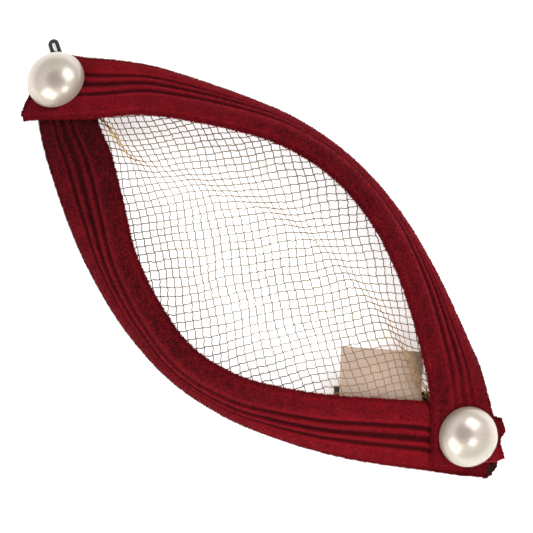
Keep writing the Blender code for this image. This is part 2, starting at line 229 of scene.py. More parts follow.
# along and out place a band's inner edge, as shares of the half span and of the band's reach; heading is the way
# across the band in degrees; spread is how far its pleats are opened; turn is how much steeper they stand.
Section = namedtuple("Section", "along out heading spread turn")
UPPER_SECTIONS = [
    Section(-1.020, -0.50, 109, 1.39, 0),
    Section(-0.905, -0.27, 120, 1.20, 0),
    Section(-0.787, -0.03, 123, 1.06, 0),
    Section(-0.654, 0.30, 122, 0.95, 16),
    Section(-0.431, 0.65, 114, 0.90, 30),
    Section(-0.209, 0.91, 103, 0.92, 40),
    Section(0.013, 1.00, 90, 0.92, 46),
    Section(0.235, 0.91, 78, 0.92, 46),
    Section(0.456, 0.67, 66, 0.90, 40),
    Section(0.677, 0.31, 57, 0.92, 26),
    Section(0.832, -0.01, 53, 0.91, 0),
    Section(0.971, -0.41, 46, 1.28, 0),
]
LOWER_SECTIONS = [
    Section(-0.964, -0.37, 121, 1.04, 0),
    Section(-0.798, 0.02, 125, 0.89, 0),
    Section(-0.648, 0.21, 123, 1.02, 2),
    Section(-0.494, 0.46, 121, 0.98, 10),
    Section(-0.340, 0.71, 117, 0.92, 26),
    Section(-0.151, 0.90, 103, 0.86, 34),
    Section(0.053, 1.00, 90, 0.82, 42),
    Section(0.255, 0.91, 77, 0.82, 37),
    Section(0.399, 0.74, 69, 0.85, 26),
    Section(0.542, 0.525, 62, 0.92, 16),
    Section(0.684, 0.262, 60, 1.00, 2),
    Section(0.814, 0.018, 59, 1.05, 0),
    Section(1.060, -0.35, 61, 0.93, 0),
]

# The finished relief from the inner edge outwards: across is a share of the strip's width, rise a share of its
# thickness, and bend the share of a section's turn that the velvet has taken by there.
Crease = namedtuple("Crease", "across rise bend")
RELIEF = [
    Crease(0.000, 0.42, 0.0), Crease(0.025, 0.64, 0.0), Crease(0.070, 0.86, 0.0), Crease(0.130, 0.99, 0.0),
    Crease(0.190, 1.03, 0.0), Crease(0.250, 0.99, 0.1), Crease(0.310, 0.86, 0.2), Crease(0.350, 0.73, 0.4),
    Crease(0.380, 0.54, 0.6), Crease(0.395, 0.52, 0.7), Crease(0.420, 0.65, 0.8), Crease(0.455, 0.84, 0.9),
    Crease(0.490, 0.78, 1.0), Crease(0.520, 0.62, 1.0), Crease(0.545, 0.51, 1.0), Crease(0.572, 0.51, 1.0),
    Crease(0.600, 0.67, 1.0), Crease(0.635, 0.87, 1.0), Crease(0.668, 0.72, 1.0), Crease(0.698, 0.56, 1.0),
    Crease(0.715, 0.55, 1.0), Crease(0.745, 0.67, 1.0), Crease(0.800, 0.80, 1.0), Crease(0.880, 0.80, 1.0),
    Crease(0.960, 0.66, 1.0), Crease(1.000, 0.46, 1.0),
]

# Painted light and shade along each band, as a glow at each place along it: the velvet's colour is painted lighter
# where it catches a sheen, and darker at the lower band's left end, for the shadow that the upper band casts on
# it.
PaintedLight = namedtuple("PaintedLight", "along glow")
UPPER_PAINTED_LIGHT = [
    PaintedLight(-1.02, 0.65), PaintedLight(-0.85, 0.95), PaintedLight(-0.60, 0.95), PaintedLight(-0.35, 0.70), PaintedLight(-0.10, 0.45), PaintedLight(0.15, 0.42),
    PaintedLight(0.35, 0.52), PaintedLight(0.60, 0.62), PaintedLight(0.80, 0.50), PaintedLight(0.97, 0.70),
]
LOWER_PAINTED_LIGHT = [
    PaintedLight(-0.96, -0.55), PaintedLight(-0.80, -0.45), PaintedLight(-0.65, -0.10), PaintedLight(-0.45, 0.20), PaintedLight(-0.20, 0.28), PaintedLight(0.05, 0.34),
    PaintedLight(0.30, 0.58), PaintedLight(0.50, 0.92), PaintedLight(0.70, 1.00), PaintedLight(0.85, 0.90), PaintedLight(1.06, 0.45),
]


def smooth(rows, column, along):
    """Read a column of a table between its rows, on a smooth curve through them."""
    places = [row[0] for row in rows]
    values = [getattr(row, column) for row in rows]
    if along <= places[0]:
        return values[0]
    if along >= places[-1]:
        return values[-1]
    last = len(rows) - 1
    i = next(k for k in range(last) if along < places[k + 1])

    def slope(k):
        a, b = max(k - 1, 0), min(k + 1, last)
        return (values[b] - values[a]) / (places[b] - places[a])

    step = places[i + 1] - places[i]
    t = (along - places[i]) / step
    return ((2 * t ** 3 - 3 * t ** 2 + 1) * values[i] + (t ** 3 - 2 * t ** 2 + t) * step * slope(i)
            + (3 * t ** 2 - 2 * t ** 3) * values[i + 1] + (t ** 3 - t ** 2) * step * slope(i + 1))


def ease(value, low, high):
    """Go smoothly from 0 at low to 1 at high."""
    t = min(1.0, max(0.0, (value - low) / (high - low)))
    return t * t * (3 - 2 * t)


def level_out(height):
    """Keep a height above the floor, easing onto it within a small blend."""
    if height >= FLOOR_BLEND:
        return height
    if height <= -FLOOR_BLEND:
        return 0.0
    return (height + FLOOR_BLEND) ** 2 / (4 * FLOOR_BLEND)


def head_form(x, y):
    """Height of the head form that both bands and the net are shaped on."""
    return CROWN_HEIGHT * smooth(ARCH, "height", x / HALF_SPAN) - y * y / (2 * SIDE_RADIUS)


def inner_edge(sections, reach, side, along):
    return Vector((along * HALF_SPAN, side * smooth(sections, "out", along) * reach))


def crossing(x):
    """0 along the open middle, 1 where the bands cross."""
    return ease(abs(x) / HALF_SPAN, CROSSING_STARTS, CROSSING_FULL)


def sewn_thickness(x):
    tip = ease(abs(x) / HALF_SPAN, TIP_STARTS, TIP_FULL)
    return CROSSING_THICKNESS + (TIP_THICKNESS - CROSSING_THICKNESS) * tip


def upper_lift(x):
    return (sewn_thickness(x) + GAP) * math.hypot(1, STEEPEST) * crossing(x)


def crossing_top(x, y):
    return level_out(head_form(x, y)) + upper_lift(x) + sewn_thickness(x) * math.hypot(1, STEEPEST)


ACROSS_STEPS = 64
UNDER_STEPS = 10
ALONG_STEPS = 520
EDGE_STEPS = (0.2, 0.5, 0.8)  # shares of a long edge's height
PLEATS_FROM, PLEATS_TO = 0.35, 0.76
PLEAT_WANDER = 0.011
WANDER_FROM, WANDER_SPAN = 0.2, 0.75
WANDERS_ALONG, WANDERS_ACROSS = 3.1, 3.0
SETTLED_RISE = 0.80
SETTLED_MIDDLE = 0.40         # how far the grooves have closed up along the middle
MIDDLE_FULL, MIDDLE_ENDS = 0.15, 0.50
SETTLED_END = 0.65            # and in the upper band at the right end
END_STARTS, END_FULL = 0.62, 0.85
PILE_ROUGHNESS = 0.00022
PILE_CLUMPS = 1300
END_FRAY = 0.0018
END_COLUMNS = 8
CORNER_ROUND = 0.0022
CORNER_REACH = 0.0035
EDGE_ROUND = 0.0005
# Painted light: the fold's edges, thin lines along the crests, the pleats and the upper band's hemmed end are
# painted lighter, for sheen and highlights.
EDGE_GLOW = 0.34
CREST_GLOW = 0.45
CREST_WIDTH = 0.022
CRESTS = (0.330, 0.455, 0.635, 0.765)
PLEAT_GLOW = 0.26
HEM_GLOW = 0.30
HEM_FRAY = 0.35
RAGGED_EDGE = 0.00042
RAGGED_CLUMPS = 850
FIBRES = 45000
FIBRE_LENGTH = 0.00072
FIBRE_RADIUS = 0.00008
RIM_STOUTNESS = 1.7
FIBRE_EDGE_SHARE = 0.5
FIBRE_LEAN, FIBRE_SCATTER = 0.25, 0.38
FIBRE_SHORTEST, FIBRE_LONGEST = 0.55, 1.15
FIBRE_GLOW = 0.1
FLOOR_CLEARANCE = 0.00005
RAW_FROM = 0.66               # share of the lower band's cut end, from which it is coloured dark brown
WELD = 0.000001


def underside(sections, reach, side, along, raised):
    """Underside of one section of a band, from its inner edge outwards, with the place along it and its crease."""
    start = inner_edge(sections, reach, side, along)
    heading = math.radians(smooth(sections, "heading", along))
    way = Vector((math.cos(heading), side * math.sin(heading)))
    spread = smooth(sections, "spread", along)
    turn = math.radians(max(0.0, smooth(sections, "turn", along)))
    tip = start + way * FOLD_WIDTH
    slope = math.atan2(head_form(start.x, start.y) - head_form(tip.x, tip.y), FOLD_WIDTH)
    points = []
    plan = fall = 0.0
    for k in range(ACROSS_STEPS + 1):
        across = k / ACROSS_STEPS
        if k:
            width = STRIP_WIDTH / ACROSS_STEPS
            if across * STRIP_WIDTH > FOLD_WIDTH:
                width *= spread
            angle = slope + turn * smooth(RELIEF, "bend", across - 0.5 / ACROSS_STEPS)
            plan += width * math.cos(angle)
            fall += width * (math.sin(angle) - math.cos(angle) * math.tan(slope))
        spot = start + way * plan
        height = level_out(head_form(spot.x, spot.y) - fall)
        if raised:
            height += upper_lift(spot.x)
        points.append((spot.x, spot.y, height))
    return points


def velvet_band(name, sections, reach, side, raised, painted_light_rows, seed):
    """A band as a closed strip: folds and pleats on top, rounded long edges and a plain underside."""
    first, last = sections[0].along, sections[-1].along
    places = [first + (last - first) * i / ALONG_STEPS for i in range(ALONG_STEPS + 1)]
    under = np.array([underside(sections, reach, side, along, raised) for along in places])
    run = np.gradient(under, axis=0)
    over = np.gradient(under, axis=1)
    facing = np.cross(run, over) * side
    facing /= np.linalg.norm(facing, axis=2, keepdims=True)
    outward = over / np.linalg.norm(over, axis=2, keepdims=True)
    lengthwise = run / np.linalg.norm(run, axis=2, keepdims=True)
    edge_x = under[-1, 0, 0]

    loop = [("top", k) for k in range(ACROSS_STEPS + 1)]
    loop += [("outer", t) for t in EDGE_STEPS]
    loop += [("under", round(ACROSS_STEPS * (1 - k / UNDER_STEPS))) for k in range(UNDER_STEPS + 1)]
    loop += [("inner", t) for t in EDGE_STEPS]
    loop.append(loop[0])
    points = np.zeros((ALONG_STEPS + 1, len(loop), 3))
    depth = np.zeros((ALONG_STEPS + 1, len(loop)))
    raw = np.zeros((ALONG_STEPS + 1, len(loop)))
    for i, along in enumerate(places):
        settled = SETTLED_MIDDLE * (1 - ease(abs(along), MIDDLE_FULL, MIDDLE_ENDS))
        if raised:
            settled += SETTLED_END * ease(along, END_STARTS, END_FULL)
        relief = []
        for k in range(ACROSS_STEPS + 1):
            across = k / ACROSS_STEPS
            window = math.sin(math.pi * min(1.0, max(0.0, (across - WANDER_FROM) / WANDER_SPAN)))
            drift = noise.noise(Vector((along * WANDERS_ALONG, across * WANDERS_ACROSS, seed)))
            drift = PLEAT_WANDER * window * drift
            place = min(1.0, max(0.0, across + drift))
            rise = smooth(RELIEF, "rise", place)
            if PLEATS_FROM < place < PLEATS_TO:
                rise += settled * max(0.0, SETTLED_RISE - rise)
            x = under[i, k, 0]
            full = BAND_THICKNESS * rise
            flat = sewn_thickness(x) * min(1.0, rise * SEWN_DOWN)
            hem = HEM_RISE * ease(under[i, 0, 0], edge_x - HEM_WIDTH, edge_x - HEM_WIDTH * 0.6) if raised else 0.0
            valley = (1 - rise) * ease(place, 0.30, 0.36) * (1 - ease(place, 0.745, 0.80))
            relief.append((full + (flat - full) * crossing(x) + hem, valley))
        for j, (part, where) in enumerate(loop):
            if part == "top":
                points[i, j] = under[i, where] + facing[i, where] * relief[where][0]
                depth[i, j] = relief[where][1]
            elif part == "under":
                points[i, j] = under[i, where]
            else:
                row, sign, share = (ACROSS_STEPS, 1, 1 - where) if part == "outer" else (0, -1, where)
                bulge = EDGE_ROUND * math.sin(math.pi * share)
                points[i, j] = (under[i, row] + facing[i, row] * relief[row][0] * share
                                + outward[i, row] * sign * bulge)

    for i in range(ALONG_STEPS + 1):
        near_end = min(i, ALONG_STEPS - i)
        for j, (part, where) in enumerate(loop[:-1]):
            row = where if part in ("top", "under") else (ACROSS_STEPS if part == "outer" else 0)
            spot = Vector(points[i, j]) * PILE_CLUMPS
            if part != "under":
                points[i, j] += facing[i, row] * PILE_ROUGHNESS * noise.noise(spot)
            if part in ("outer", "inner"):
                points[i, j] += outward[i, row] * RAGGED_EDGE * noise.noise(Vector(points[i, j]) * RAGGED_CLUMPS)
            if near_end < END_COLUMNS:
                share = 1 - near_end / END_COLUMNS
                corner = min(row, ACROSS_STEPS - row) * STRIP_WIDTH / ACROSS_STEPS
                inset = CORNER_ROUND * max(0.0, 1 - corner / CORNER_REACH) ** 2 * (1 if i < END_COLUMNS else -1)
                fray = noise.noise(Vector((row * 0.7, seed, i * 0.001))) * END_FRAY
                hemmed = HEM_FRAY if raised and i > END_COLUMNS else 1.0
                points[i, j] += lengthwise[i, row] * (inset + fray) * share * hemmed
                if i > END_COLUMNS and not raised and row > RAW_FROM * ACROSS_STEPS:
                    raw[i, j] = share
        points[i, -1] = points[i, 0]

    columns, around = ALONG_STEPS, len(loop) - 1
    band = start_primitive(bpy.ops.mesh.primitive_grid_add, x_subdivisions=columns, y_subdivisions=around, size=1)
    band.name = band.data.name = name
    flat = np.zeros(len(band.data.vertices) * 3)
    band.data.vertices.foreach_get("co", flat)
    flat = flat.reshape(-1, 3)
    i = np.rint((flat[:, 0] + 0.5) * columns).astype(int)
    j = np.rint((flat[:, 1] + 0.5) * around).astype(int)
    points += np.array(CAP_SHIFT)
    band.data.vertices.foreach_set("co", points[i, j].ravel())
    band.data.update()
    # Painted light: each place's glow paints the sheen on the fold's edges and pleats, highlight lines on the
    # crests, the sheen of the upper band's hem, and each band's painted light and shade along it.
    glow = np.zeros((ALONG_STEPS + 1, len(loop)))
    for n, (part, where) in enumerate(loop):
        across = where / ACROSS_STEPS if part == "top" else 0
        on_pleats = part == "outer" or across > PLEATS_FROM
        glow[:, n] = PLEAT_GLOW if on_pleats else EDGE_GLOW * (across / (PLEATS_FROM / 2) - 1) ** 2
        glow[:, n] += sum(CREST_GLOW * math.exp(-((across - crest) / CREST_WIDTH) ** 2) for crest in CRESTS)
    glow += np.array([[smooth(painted_light_rows, "glow", along)] for along in places])
    if raised:
        glow[-END_COLUMNS:] += HEM_GLOW
    for key, values in (("depth", depth), ("painted_light", glow), ("raw", raw)):
        band.data.attributes.new(key, "FLOAT", "POINT").data.foreach_set("value", values[i, j])
    bpy.ops.object.mode_set(mode="EDIT")
    bpy.ops.mesh.select_all(action="SELECT")
    bpy.ops.mesh.remove_doubles(threshold=WELD)
    bpy.ops.mesh.select_all(action="DESELECT")
    bpy.ops.mesh.select_non_manifold()
    bpy.ops.mesh.fill_holes(sides=0)
    bpy.ops.mesh.select_all(action="SELECT")
    bpy.ops.mesh.normals_make_consistent(inside=False)
    bpy.ops.object.mode_set(mode="OBJECT")
    bpy.ops.object.shade_smooth_by_angle(angle=math.radians(70))
    return band, pile_of(name, points, depth, glow, int(seed))


def pile_of(name, points, depth, glow, seed):
    """The velvet's pile: short leaning fibres, each a closed sliver, thickest along the band's long edges."""
    draw = np.random.default_rng(seed)
    columns, around = points.shape[0] - 1, points.shape[1] - 1
    top = np.arange(ACROSS_STEPS)
    rims = np.r_[0:2, ACROSS_STEPS - 2:ACROSS_STEPS + 4, around - 4:around]
    at_rim = draw.random(FIBRES) < FIBRE_EDGE_SHARE
    j = np.where(at_rim, draw.choice(rims, FIBRES), draw.choice(top, FIBRES))
    i = draw.integers(0, columns, FIBRES)
    u, v = draw.random((2, FIBRES, 1))
    a, b, c, d = points[i, j], points[i + 1, j], points[i, j + 1], points[i + 1, j + 1]
    foot = (a * (1 - u) + b * u) * (1 - v) + (c * (1 - u) + d * u) * v
    run, over = b - a, c - a
    out = np.cross(run, over)
    out *= np.sign((out * (foot - points[i].mean(axis=1))).sum(axis=1, keepdims=True))
    out /= np.linalg.norm(out, axis=1, keepdims=True) + 1e-12
    run = run / (np.linalg.norm(run, axis=1, keepdims=True) + 1e-12)
    beside = np.cross(out, run)
    lean = draw.normal(0, FIBRE_SCATTER, (2, FIBRES, 1))
    length = FIBRE_LENGTH * draw.uniform(FIBRE_SHORTEST, FIBRE_LONGEST, (FIBRES, 1))
    tip = foot + (out + run * (lean[0] + FIBRE_LEAN) + beside * lean[1]) * length
    spin = draw.uniform(0, 2 * math.pi, (FIBRES, 1))
    radius = FIBRE_RADIUS * np.where(at_rim, RIM_STOUTNESS, 1.0)[:, None]
    base = [foot - out * radius + radius * (run * np.cos(spin + turn) + beside * np.sin(spin + turn))
            for turn in (0, 2 * math.pi / 3, 4 * math.pi / 3)]
    corners = np.stack([*base, tip], axis=1)
    free = corners[:, :, 2].min(axis=1) > FLOOR_CLEARANCE
    corners, i, j = corners[free], i[free], j[free]
    slivers = [(4 * n + p, 4 * n + q, 4 * n + r) for n in range(len(corners))
               for p, q, r in ((0, 2, 1), (0, 1, 3), (1, 2, 3), (2, 0, 3))]
    mesh = bpy.data.meshes.new(name + "_pile")
    mesh.from_pydata(corners.reshape(-1, 3).tolist(), [], slivers)
    mesh.attributes.new("depth", "FLOAT", "POINT").data.foreach_set("value", np.repeat(depth[i, j], 4))
    # Each fibre carries the painted light of its place, painted a little lighter still for the sheen of the pile.
    mesh.attributes.new("painted_light", "FLOAT", "POINT").data.foreach_set("value", np.repeat(glow[i, j] + FIBRE_GLOW, 4))
    pile = bpy.data.objects.new(name + "_pile", mesh)
    bpy.context.scene.collection.objects.link(pile)
    return pile


velvet, shader, wire = material("crimson_velvet", (0.10, 0.003, 0.006), 0.85, Specular_IOR_Level=0.06,
                                Sheen_Weight=0.50, Sheen_Roughness=0.38, Sheen_Tint=(1.0, 0.06, 0.11, 1))
groove = wire.node("Attribute", {"attribute_name": "depth"}, {}, "Fac")
painted_light = wire.node("Attribute", {"attribute_name": "painted_light"}, {}, "Fac")
dark_end = wire.node("Attribute", {"attribute_name": "raw"}, {}, "Fac")
crush = spots(wire, 130, 3)
rubbed = spots(wire, 480, 2)
tufts = spots(wire, 1500, 2)
# Painted light and shade from each place's glow, together with random mottling of the pile, sets how light the
# velvet's colour is.
painted_light_and_mottle = (0.50 * painted_light + 0.16 * crush.between(0.30, 0.70) + 0.16 * rubbed.between(0.30, 0.70)
       + 0.50 * tufts.between(0.36, 0.64) - 0.27)
pile = painted_light_and_mottle.mix((0.014, 0.0006, 0.0010, 1), (0.180, 0.0040, 0.0088, 1))
# Painted shade: the grooves between the folds are painted darker by how deep they are.
shaded = (0.85 * groove.between(0.15, 0.48)).mix(pile, (0.014, 0.0004, 0.0010, 1))
# The lower band's right cut end is coloured dark brown over the outer part of its width.
feed(dark_end.between(0.1, 0.5).mix(shaded, (0.014, 0.008, 0.006, 1)), shader, "Base Color")
bumped(shader, tufts + 0.5 * spots(wire, 4200, 1), 0.00035, 0.9)

for name, node, sections, reach, side, raised, painted_light_rows, seed, rests in (
        ("lower_velvet", "lower_band", LOWER_SECTIONS, LOWER_REACH, -1, False, LOWER_PAINTED_LIGHT, 7.0, ["floor"]),
        ("upper_velvet", "upper_band", UPPER_SECTIONS, UPPER_REACH, 1, True, UPPER_PAINTED_LIGHT, 2.0, ["lower_velvet"])):
    band, fuzz = velvet_band(name, sections, reach, side, raised, painted_light_rows, seed)
    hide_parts(node)
    area = sum(face.area for face in band.data.polygons) / 2
    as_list(rests)
    for piece in (band, fuzz):
        piece.data.materials.append(velvet)
        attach(piece, "root")


# Net. Fine gold metallic thread, knotted into a soft diamond mesh, cut to the opening and caught under both bands.
# It was gathered into a crease at the left corner and a soft ridge that runs on to the right corner.
MESH_RIGHT = Vector((0.00212, 0.00258))
MESH_DOWN = Vector((0.00272, -0.00195))
NET_TUCK = 0.0025
RIDGE_HEIGHT = 0.0022
RIDGE_WIDTH = 0.0090
THREAD_RADIUS = 0.00021
KNOT_RADIUS = 0.00039
THREAD_STEPS = 4
THREAD_SWAY, THREAD_KINK, THREAD_TWIST = 0.10, 0.05, 0.7
NET_SLACK = 0.00045

RidgeRow = namedtuple("RidgeRow", "along out lift")
RIDGE = [
    RidgeRow(-0.78, -0.10, 0.0), RidgeRow(-0.55, -0.12, 0.6), RidgeRow(-0.33, 0.05, 0.8),
    RidgeRow(0.01, 0.32, 1.0), RidgeRow(0.25, 0.34, 1.0), RidgeRow(0.53, 0.23, 0.8), RidgeRow(0.80, 0.02, 0.0),
]

# How the mesh is drawn together across a line: along and out place the line as for a band, pinch is how much
# closer its threads lie there, reach how far that goes in metres, and stretch opens the mesh on either side.
Gather = namedtuple("Gather", "along out pinch reach stretch")
GATHERS = [
    Gather(-0.86, 0.03, 0.93, 0.0075, 0.74),
    Gather(-0.72, -0.03, 0.92, 0.0060, 0.74),
    Gather(-0.60, -0.11, 0.80, 0.0040, 0.80),
    Gather(-0.48, -0.06, 0.35, 0.0040, 0.84),
    Gather(-0.33, 0.10, 0.40, 0.0045, 0.92),
    Gather(-0.16, 0.26, 0.50, 0.0045, 1.00),
    Gather(0.01, 0.38, 0.55, 0.0046, 1.07),
    Gather(0.25, 0.40, 0.50, 0.0046, 1.08),
    Gather(0.53, 0.28, 0.60, 0.0050, 0.98),
    Gather(0.70, 0.13, 0.80, 0.0060, 0.90),
    Gather(0.83, 0.03, 0.92, 0.0070, 0.85),
]


def net_limits(x):
    along = x / HALF_SPAN
    low = inner_edge(LOWER_SECTIONS, LOWER_REACH, -1, along).y
    high = inner_edge(UPPER_SECTIONS, UPPER_REACH, 1, along).y
    return low, high


def net_height(x, y):
    low, high = net_limits(x)
    along = x / HALF_SPAN
    middle = smooth(RIDGE, "out", along) * UPPER_REACH
    lift = max(0.0, smooth(RIDGE, "lift", along)) * ease(min(y - low, high - y), 0, RIDGE_WIDTH)
    return head_form(x, y) - GAP + RIDGE_HEIGHT * lift * math.exp(-((y - middle) / RIDGE_WIDTH) ** 2)


def gathered(x, y):
    """Where a point of the even mesh goes once the net is drawn together along its crease and ridge."""
    along = x / HALF_SPAN
    line = smooth(GATHERS, "out", along) * UPPER_REACH
    pinch, reach = smooth(GATHERS, "pinch", along), smooth(GATHERS, "reach", along)
    off = (y - line) * smooth(GATHERS, "stretch", along)
    return x, line + off - pinch * reach * math.tanh(off / reach)


def mesh_point(i, j):
    """A knot of the net, a little out of true."""
    even = MESH_RIGHT * i + MESH_DOWN * j
    wobble = Vector((noise.noise(Vector((i * 0.9, j * 0.9, 3.3))), noise.noise(Vector((i * 0.9, j * 0.9, 8.1)))))
    even += wobble * NET_SLACK + Vector((noise.noise(Vector((i * 0.2, j * 0.2, 1.3))),
                                         noise.noise(Vector((i * 0.2, j * 0.2, 5.1))))) * NET_SLACK * 3
    return gathered(even.x, even.y)


def inside_net(x, y, tuck):
    low, high = net_limits(x)
    return low - tuck < y < high + tuck and high - low > -tuck


MOST = 75
HALF_CUT = Vector((0.11, 0.12))
knots = {(i, j): mesh_point(i, j) for i in range(-MOST, MOST + 1) for j in range(-MOST, MOST + 1)
         if abs(MESH_RIGHT.x * i + MESH_DOWN.x * j) < HALF_CUT.x
         and abs(MESH_RIGHT.y * i + MESH_DOWN.y * j) < HALF_CUT.y}
held = {key for key, (x, y) in knots.items() if inside_net(x, y, NET_TUCK)}


def thread_runs():
    """Runs of neighbouring knots that one thread passes through, for the threads of both families."""
    for step in ((1, 0), (0, 1)):
        for i, j in sorted(held):
            if (i - step[0], j - step[1]) in held:
                continue
            run = [(i, j)]
            while (run[-1][0] + step[0], run[-1][1] + step[1]) in held:
                run.append((run[-1][0] + step[0], run[-1][1] + step[1]))
            if len(run) > 1:
                yield step[0], run


def thread_points(family, run):
    """A thread's path through its knots: it twists a little about the other family at each of them."""
    spots_on = [Vector(knots[key]) for key in run]
    points = []
    for k in range(len(spots_on) - 1):
        a, b = spots_on[k], spots_on[k + 1]
        before = spots_on[k - 1] if k else a - (b - a)
        after = spots_on[k + 2] if k + 2 < len(spots_on) else b + (b - a)
        beside = Vector((-(b - a).y, (b - a).x))
        sway = noise.noise(Vector((run[k][0] * 1.7, run[k][1] * 1.7, 4.4 + family))) * THREAD_SWAY
        for s in range(THREAD_STEPS):
            t = s / THREAD_STEPS
            place = (a * (2 * t ** 3 - 3 * t ** 2 + 1) + (b - before) / 2 * (t ** 3 - 2 * t ** 2 + t)
                     + b * (3 * t ** 2 - 2 * t ** 3) + (after - a) / 2 * (t ** 3 - t ** 2))
            place += beside * (sway * math.sin(math.pi * t) + THREAD_KINK * math.sin(2 * math.pi * t))
            twist = THREAD_RADIUS * THREAD_TWIST * math.cos(2 * math.pi * t) * (1 if family else -1)
            points.append((place.x, place.y, net_height(place.x, place.y) - THREAD_RADIUS * 2 + twist))
    end = spots_on[-1]
    points.append((end.x, end.y, net_height(end.x, end.y) - THREAD_RADIUS * 2))
    return points


thread = bpy.data.curves.new("net_thread", "CURVE")
thread.dimensions = "3D"
for family, run in thread_runs():
    path = thread_points(family, run)
    spline = thread.splines.new("POLY")
    spline.points.add(len(path) - 1)
    spline.points.foreach_set("co", np.array([(*(Vector(p) + CAP_SHIFT), 1) for p in path]).ravel())
thread.bevel_depth = THREAD_RADIUS
thread.bevel_resolution = 0
thread.use_fill_caps = True
net = bpy.data.objects.new("net_thread", thread)
bpy.context.scene.collection.objects.link(net)
bpy.ops.object.select_all(action="DESELECT")
net.select_set(True)
bpy.context.view_layer.objects.active = net
bpy.ops.object.convert(target="MESH")
bpy.ops.object.shade_smooth()
net = bpy.context.active_object
net.name = net.data.name = "gold_net_thread"

bead = start_primitive(bpy.ops.mesh.primitive_ico_sphere_add, subdivisions=1, radius=KNOT_RADIUS)
ball = np.array([vertex.co for vertex in bead.data.vertices])
ball_faces = [tuple(face.vertices) for face in bead.data.polygons]
bpy.data.objects.remove(bead)
knot_points, knot_faces = [], []
for n, key in enumerate(sorted(held)):
    x, y = knots[key]
    size = 0.8 + 0.35 * noise.noise(Vector((key[0] * 2.3, key[1] * 2.3, 9.0)))
    middle = np.array(Vector((x, y, net_height(x, y) - THREAD_RADIUS * 2)) + CAP_SHIFT)
    knot_points.append(ball * (size, size, size * 0.7) + middle)
    knot_faces += [tuple(v + n * len(ball) for v in face) for face in ball_faces]
knot_mesh = bpy.data.meshes.new("net_knots")
knot_mesh.from_pydata(np.concatenate(knot_points).tolist(), [], knot_faces)
ties = bpy.data.objects.new("net_knots", knot_mesh)
bpy.context.scene.collection.objects.link(ties)
bpy.ops.object.select_all(action="DESELECT")
ties.select_set(True)
net.select_set(True)
bpy.context.view_layer.objects.active = net
bpy.ops.object.join()
bpy.ops.object.shade_smooth()


def net_tones(x, y):
    """How far the net is painted darker near a band, for a painted reflection of the dark velvet, and how far its
    gathered threads are coloured amber and given painted glints, at a point.
    """
    low, high = net_limits(x)
    along = x / HALF_SPAN
    dark = (1 - ease(min(y - low, high - y), 0.001, 0.016)) * (1 - ease(along, 0.40, 0.60))
    off = (y - smooth(GATHERS, "out", along) * UPPER_REACH) / (0.6 * smooth(GATHERS, "reach", along))
    bunched = smooth(GATHERS, "pinch", along) * math.exp(-off * off)
    return dark, max(bunched, 0.60 * ease(along, 0.42, 0.56))


net_places = np.zeros(len(net.data.vertices) * 3)
net.data.vertices.foreach_get("co", net_places)
tones = np.array([net_tones(x - CAP_SHIFT.x, y - CAP_SHIFT.y) for x, y, z in net_places.reshape(-1, 3)])
net.data.attributes.new("edge", "FLOAT", "POINT").data.foreach_set("value", tones[:, 0].copy())
net.data.attributes.new("bunched", "FLOAT", "POINT").data.foreach_set("value", tones[:, 1].copy())

gold, shader, wire = material("gold_thread", (0.20, 0.15, 0.09), 0.38, Metallic=0.35)
near_edge = wire.node("Attribute", {"attribute_name": "edge"}, {}, "Fac")
bunched = wire.node("Attribute", {"attribute_name": "bunched"}, {}, "Fac")
glint_and_tone_spots = spots(wire, 420, 1)
patches = spots(wire, 30, 1)
# Painted reflection: threads near the bands are painted darker for the dark velvet they mirror; the patches and
# spots are random tone of the thread.
dark = 0.55 * near_edge + 0.30 * patches.between(0.42, 0.68) + 0.40 * glint_and_tone_spots.between(0.35, 0.65)
plain = dark.mix((0.230, 0.155, 0.068, 1), (0.046, 0.031, 0.017, 1))
amber = bunched.between(0.15, 0.70).mix(plain, (0.235, 0.125, 0.038, 1))
# Painted highlights: glints on the gathered threads.
glint = bunched.between(0.50, 0.95) * glint_and_tone_spots.between(0.40, 0.58)
feed(glint.mix(amber, (0.55, 0.37, 0.16, 1)), shader, "Base Color")
feed(0.30 + 0.25 * glint_and_tone_spots, shader, "Roughness")
bumped(shader, spots(wire, 6000, 1), 0.00004, 0.6)
net.data.materials.clear()
net.data.materials.append(gold)
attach(net, "root")
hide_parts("net")


# Pearls. Two flat-backed plastic domes an inch across, with an ivory pearl coating, sewn down through both bands
# where they cross, so that each tips outwards with the band under it.
PEARL_RADIUS = 0.0127
PEARL_HEIGHT = 0.0111
PEARL_BACK_EDGE = 0.0008
PEARL_SEAT_SPOTS = [(0, 0), (0.5, 0), (-0.5, 0), (0, 0.5), (0, -0.5), (1, 0), (-1, 0), (0, 1), (0, -1),
                    (0.7, 0.7), (0.7, -0.7), (-0.7, 0.7), (-0.7, -0.7)]
PEARL_SIDES, PEARL_RINGS = 96, 64
CURL_ENDS = math.radians(30)  # of the sphere below its middle, that becomes the rounded edge of the back
# Painted reflection of the dark space over the pearls: the coating is painted darker where the dome faces this
# way, fading out between these two angles.
DARK_REFLECTION_WAY = Vector((0.0, -0.08, 1.0)).normalized()
DARK_REFLECTION_FAINT, DARK_REFLECTION_FULL = math.cos(math.radians(21)), math.cos(math.radians(3))

coating, shader, wire = material("pearl_coating", (0.52, 0.45, 0.38), 0.27, Metallic=0.22, Coat_Weight=0.25,
                                 Coat_Roughness=0.22)
bowl = wire.node("Attribute", {"attribute_name": "bowl"}, {}, "Fac")
veil = spots(wire, 70, 2)
haze = spots(wire, 38, 1)
painted_dark_reflection = wire.node("Attribute", {"attribute_name": "painted_dark_reflection"}, {}, "Fac")
cream = veil.between(0.35, 0.65).mix((0.51, 0.44, 0.385, 1), (0.46, 0.42, 0.345, 1))
blush = haze.between(0.45, 0.7).mix(cream, (0.53, 0.43, 0.39, 1))
